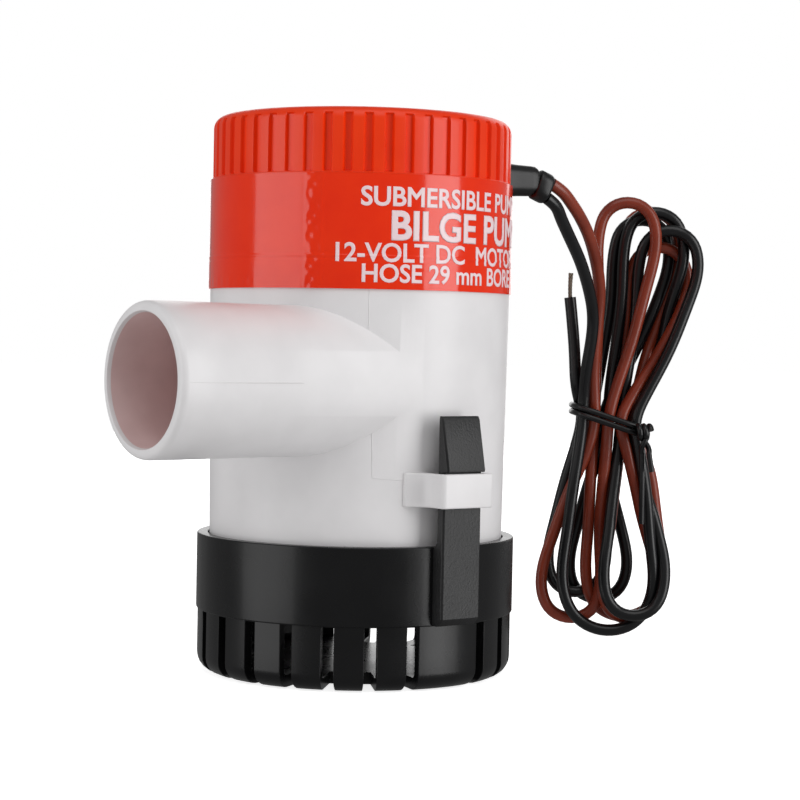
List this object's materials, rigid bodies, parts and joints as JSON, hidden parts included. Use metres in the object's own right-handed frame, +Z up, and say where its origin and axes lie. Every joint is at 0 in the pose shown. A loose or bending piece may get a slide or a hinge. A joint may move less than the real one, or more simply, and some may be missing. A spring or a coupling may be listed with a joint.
{
  "type": "bilge pump",
  "caption": "Submersible cartridge bilge pump: white barrel with a side hose spigot, ribbed orange motor cap, clip-on slotted black strainer and a tied hank of leads.",
  "frame": {"origin": "middle of the strainer's underside, on the pump's axis", "axes": "+Z up along the pump's axis, the hose spigot points to -Y, the two snap arms are at +X and -X"},
  "size_m": [0.0738, 0.1558, 0.1124],
  "materials": {
    "white_abs": "satin injection-moulded ABS",
    "orange_abs": "moulded ABS, satin with fine ribs",
    "orange_vinyl": "glossy printed vinyl",
    "black_abs": "satin ABS, pebbled on the arms",
    "black_rubber": "matt moulded rubber",
    "brown_pvc": "satin PVC insulation",
    "black_pvc": "satin PVC insulation",
    "grey_nylon": "moulded nylon",
    "plated_steel": "zinc plated",
    "stainless_steel": "ground",
    "electrical_steel": "stacked laminations",
    "ferrite": "sintered ferrite",
    "copper": "enamelled copper",
    "tinned_copper": "twisted tinned strands",
    "brass": "stamped",
    "carbon": "pressed carbon",
    "sintered_bronze": "oil-filled sintered bronze",
    "ceramic_blue": "dipped ceramic"
  },
  "bodies": {
    "pump": {"strainer_base": "black_abs", "pump_body": "white_abs", "volute_plate": "grey_nylon", "motor_cap": "orange_abs", "label_band": "orange_vinyl", "motor_housing": "grey_nylon", "housing_o_ring": "black_rubber", "shaft_seal_upper": "black_rubber", "shaft_seal_lower": "black_rubber", "seal_retainer": "stainless_steel", "motor_can": "plated_steel", "lower_bearing": "sintered_bronze", "motor_end_cap": "grey_nylon", "upper_bearing": "sintered_bronze", "magnet_right": "ferrite", "magnet_left": "ferrite", "brush_right": "carbon", "brush_left": "carbon", "brush_spring_right": "brass", "brush_spring_left": "brass", "terminal_right": "brass", "terminal_left": "brass", "noise_capacitor": "ceramic_blue", "inner_lead_brown": "brown_pvc", "inner_lead_black": "black_pvc", "cable_boot": "black_rubber", "cable_collar": "black_rubber", "lead_brown": "brown_pvc", "lead_black": "black_pvc", "black_wire_end": "black_pvc", "black_wire_tip": "tinned_copper", "wire_hank": "black_pvc", "hank_tie": "black_pvc"},
    "rotor": {"motor_shaft": "stainless_steel", "armature_core": "electrical_steel", "winding_1": "copper", "winding_2": "copper", "winding_3": "copper", "commutator": "copper", "thrust_washer": "grey_nylon", "impeller": "white_abs", "impeller_clip": "stainless_steel"},
    "arm_right": {"snap_arm_right": "black_abs"},
    "arm_left": {"snap_arm_left": "black_abs"}
  },
  "joints": [
    {"name": "rotor_spin", "type": "hinge", "parent": "pump", "child": "rotor", "pos_m": [0, 0, 0.05], "axis": [0, 0, 1], "continuous": true},
    {"name": "arm_right_flex", "type": "hinge", "parent": "pump", "child": "arm_right", "pos_m": [0.03395, 0, 0.02905], "axis": [0, -1, 0], "range_deg": [0, 4], "stiffness_Nm_per_rad": 0.8},
    {"name": "arm_left_flex", "type": "hinge", "parent": "pump", "child": "arm_left", "pos_m": [-0.03395, 0, 0.02905], "axis": [0, 1, 0], "range_deg": [0, 4], "stiffness_Nm_per_rad": 0.8}
  ]
}
